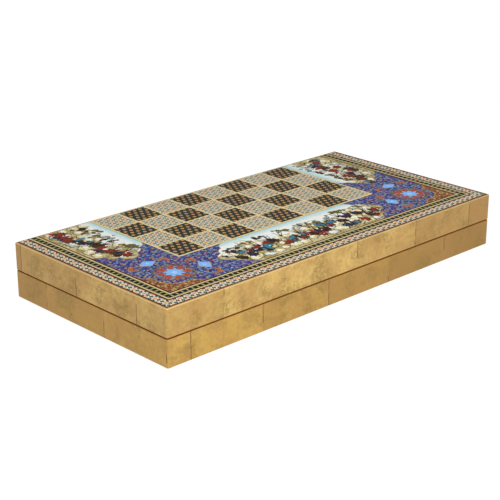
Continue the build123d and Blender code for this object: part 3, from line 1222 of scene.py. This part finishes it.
def trees(view, first_u):
    """Forked trunks under crowns of tufts that stand against the sky."""
    for u in in_passes(strides(first_u + 9, PICTURE_TIP - 30, 13, 22), 2):
        foot, tall = chances.uniform(32, 38), chances.uniform(17, 25)
        lean = chances.uniform(-0.3, 0.3)
        kind = chances.choice(CROWNS)
        for fork in (-0.4, -0.05, 0.35):
            bend, middle = lean + fork, tall * 0.75 / 2
            spot = (u - math.sin(bend) * middle, foot + math.cos(bend) * middle)
            mark("trunks", view, *spot, tall * 0.75, bend)
        crown(view, kind, u - lean * tall, foot + tall * 0.72, chances.randint(6, 9))


def meadow_flowers(view, first_u):
    """Single flowers among the stones."""
    for _ in range(int((PICTURE_TIP - first_u) * 0.4)):
        u, w = chances.uniform(first_u, PICTURE_TIP), chances.uniform(3, 40)
        mark(chances.choice(FLOWERS), view, u, w, chances.uniform(1.0, 1.8), chances.uniform(0, 3))


for view, (_, _, first_u) in views.items():
    for paint_in in (boulders, thickets, trees, meadow_flowers):
        paint_in(view, first_u)
coats = max(entry["coat"] for entry in marks)
print(len(marks), "stamps in", coats, "coats")

# %% [markdown]
# The coats share the depth that is left between the sky and the face, so the last one just stays
# below the varnish, however many there are.

# %% Stamping
FIRST_COAT = GROUND + 5 * STEP
VARNISH = 0.004
coat_depth = (face - VARNISH - FIRST_COAT) / coats
for kind, (outline, paint) in brushwork.items():
    places = [(*m["at"], *m["form"], m["coat"] * coat_depth) for m in marks if m["kind"] == kind]
    lay(f"picture_{kind}", stamp(flat_shape(outline), places), paint, FIRST_COAT)
print("each coat is", round(coat_depth * 1000, 2), "thousandths of a millimetre deep")

# %% [markdown]
# Inside, the trays are plain: walnut veneer, with points of two other woods let into it. Veneer is
# cut thin from a log, so its grain runs one way over the whole board. Fine noise, stretched
# thirtyfold along the grain, gives the pores, and a slower noise gives the broad figure.

# %% Woods inside
def wood(name, light, dark, along=0, figure=9.0, roughness=0.38):
    """Varnished wood with its grain along one axis."""
    r = Recipe(name)
    stretch = tuple(14 if axis == along else 1 for axis in range(3))
    fine = tuple(30 if axis == along else 1 for axis in range(3))
    broad = r.noise(figure, 3.0, stretch=stretch, distortion=0.4)
    pores = r.noise(0.5, 3.0, stretch=fine)
    colour = r.over(light, (broad, 0.32, 0.68, dark), (pores, 0.52, 0.7, dark, 0.5))
    return r.finish(colour, roughness, pores, 0.03, gloss=0.35)


walnut_blocks = wood("walnut_blocks", rgb(112, 72, 44), rgb(76, 48, 30), 1, 5.0)
woods = {
    "playing_field": wood("walnut_field", rgb(140, 92, 56), rgb(96, 60, 36)),
    "dark_points": wood("rosewood", rgb(74, 38, 30), rgb(44, 24, 20), 0, 5.0),
    "light_points": wood("maple", rgb(232, 206, 158), rgb(206, 174, 122), 0, 7.0),
    "field_star": wood("orangewood", rgb(206, 140, 70), rgb(172, 104, 48), 1, 6.0),
    "left_seat_blocks": walnut_blocks,
    "right_seat_blocks": walnut_blocks,
    "corner_tongues": wood("beech", rgb(206, 160, 112), rgb(184, 136, 90), 2, 4.0, 0.6),
    "panel": wood("birch_plywood", rgb(214, 180, 130), rgb(190, 152, 102), 0, 12.0, 0.6),
}
dress(woods)

# %% [markdown]
# The hinges are brass, rolled and stamped, so they are smooth, with fine scratches along the leaf
# from handling. The magnets are nickel-plated.

# %% Brass and nickel
def metal(name, colour, worn, roughness):
    """Metal with fine scratches and a little tarnish."""
    r = Recipe(name)
    scratches = r.noise(0.35, 2.0, stretch=(18, 1, 1))
    tone = r.over(colour, (r.noise(4.0, 4.0), 0.4, 0.7, worn, 0.6))
    rough = r.plus(r.times(scratches, 0.16), roughness)
    return r.finish(tone, rough, scratches, 0.01, metal=1.0)


brass = metal("hinge_brass", rgb(222, 184, 104), rgb(172, 130, 66), 0.22)
screw_brass = metal("screw_brass", rgb(226, 190, 112), rgb(160, 120, 62), 0.26)
nickel = metal("magnet_nickel", rgb(200, 200, 204), rgb(166, 168, 172), 0.2)
dress({"hinge_leaves": brass, "magnet": nickel})
nodes["hinge_pins"].material_slots[0].material = brass

# %% [markdown]
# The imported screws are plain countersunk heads. Each gets its driver's slot, cut by a boolean as a
# saw would cut it, and the slots stand at different angles because no screw stops at the same turn.

# %% Slotted screws
SLOT_WIDTH = 0.7
SLOT_DEPTH = 0.55
FIRST_TURN = 0.4
NEXT_TURN = 1.1


def loose_parts(name):
    """A merged copy of a node, separated into its solids."""
    merged_copy(name)
    bpy.ops.mesh.separate(type="LOOSE")
    return list(bpy.context.selected_objects)


def slotted(screw, outward, turn):
    """Cuts the driver's slot across a screw's head, which faces along Z or against it."""
    columns = list(zip(*(vertex.co for vertex in screw.data.vertices)))
    lowest, highest = Vector([min(c) for c in columns]), Vector([max(c) for c in columns])
    size = highest - lowest
    head = (lowest + highest) / 2 + Vector((0, 0, outward * size.z / 2))
    bpy.ops.mesh.primitive_cube_add(size=1)
    cutter = bpy.context.object
    shape = Matrix.Diagonal((SLOT_WIDTH * MM, 2 * size.x, 2 * SLOT_DEPTH * MM, 1))
    cutter.data.transform(Matrix.Translation(head) @ Matrix.Rotation(turn, 4, "Z") @ shape)
    select(screw)
    cut = screw.modifiers.new("slot", "BOOLEAN")
    cut.operation = "DIFFERENCE"
    cut.object = cutter
    bpy.ops.object.modifier_apply(modifier=cut.name)
    bpy.data.objects.remove(cutter)


for tray, outward in (("upper", -1), ("lower", 1)):
    screws = loose_parts(f"{tray}_hinge_screws")
    for index, screw in enumerate(screws):
        slotted(screw, outward, FIRST_TURN + NEXT_TURN * index)
    piece = joined(screws, f"{tray}_slotted_screws", screw_brass)
    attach(piece, f"{tray}_tray")
    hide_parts(f"{tray}_hinge_screws")
    print(tray, "tray:", len(screws), "slotted screws")

# %% [markdown]
# The open board lies on both of its decorated faces, so the lower face is painted as the upper one.
# Each painted layer is copied through the seam, and its faces are turned so that they point out.

# %% The lower face
REFLECT = Matrix.Translation((0, 0, face * MM)) @ Matrix.Diagonal((1, 1, -1, 1))
for layer in lower_twins:
    twin = bpy.data.objects.new(layer.name.replace("upper", "lower"), layer.data.copy())
    twin.data.transform(REFLECT)
    twin.data.flip_normals()
    bpy.context.collection.objects.link(twin)
    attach(twin, "lower_tray")
    if twin.name == "lower_blue_ground":
        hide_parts("lower_painted_field")
print(len(lower_twins), "layers copied to the lower face")

# %% [markdown]
# The dressed board has to fill the same box as the imported one, or it would no longer fit what the
# packed one fits. Both boxes are worked out here, the imported one first.

# %% Sizes and the end
boxes = [[list(corner) for corner in box] for box in (cad_box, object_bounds())]
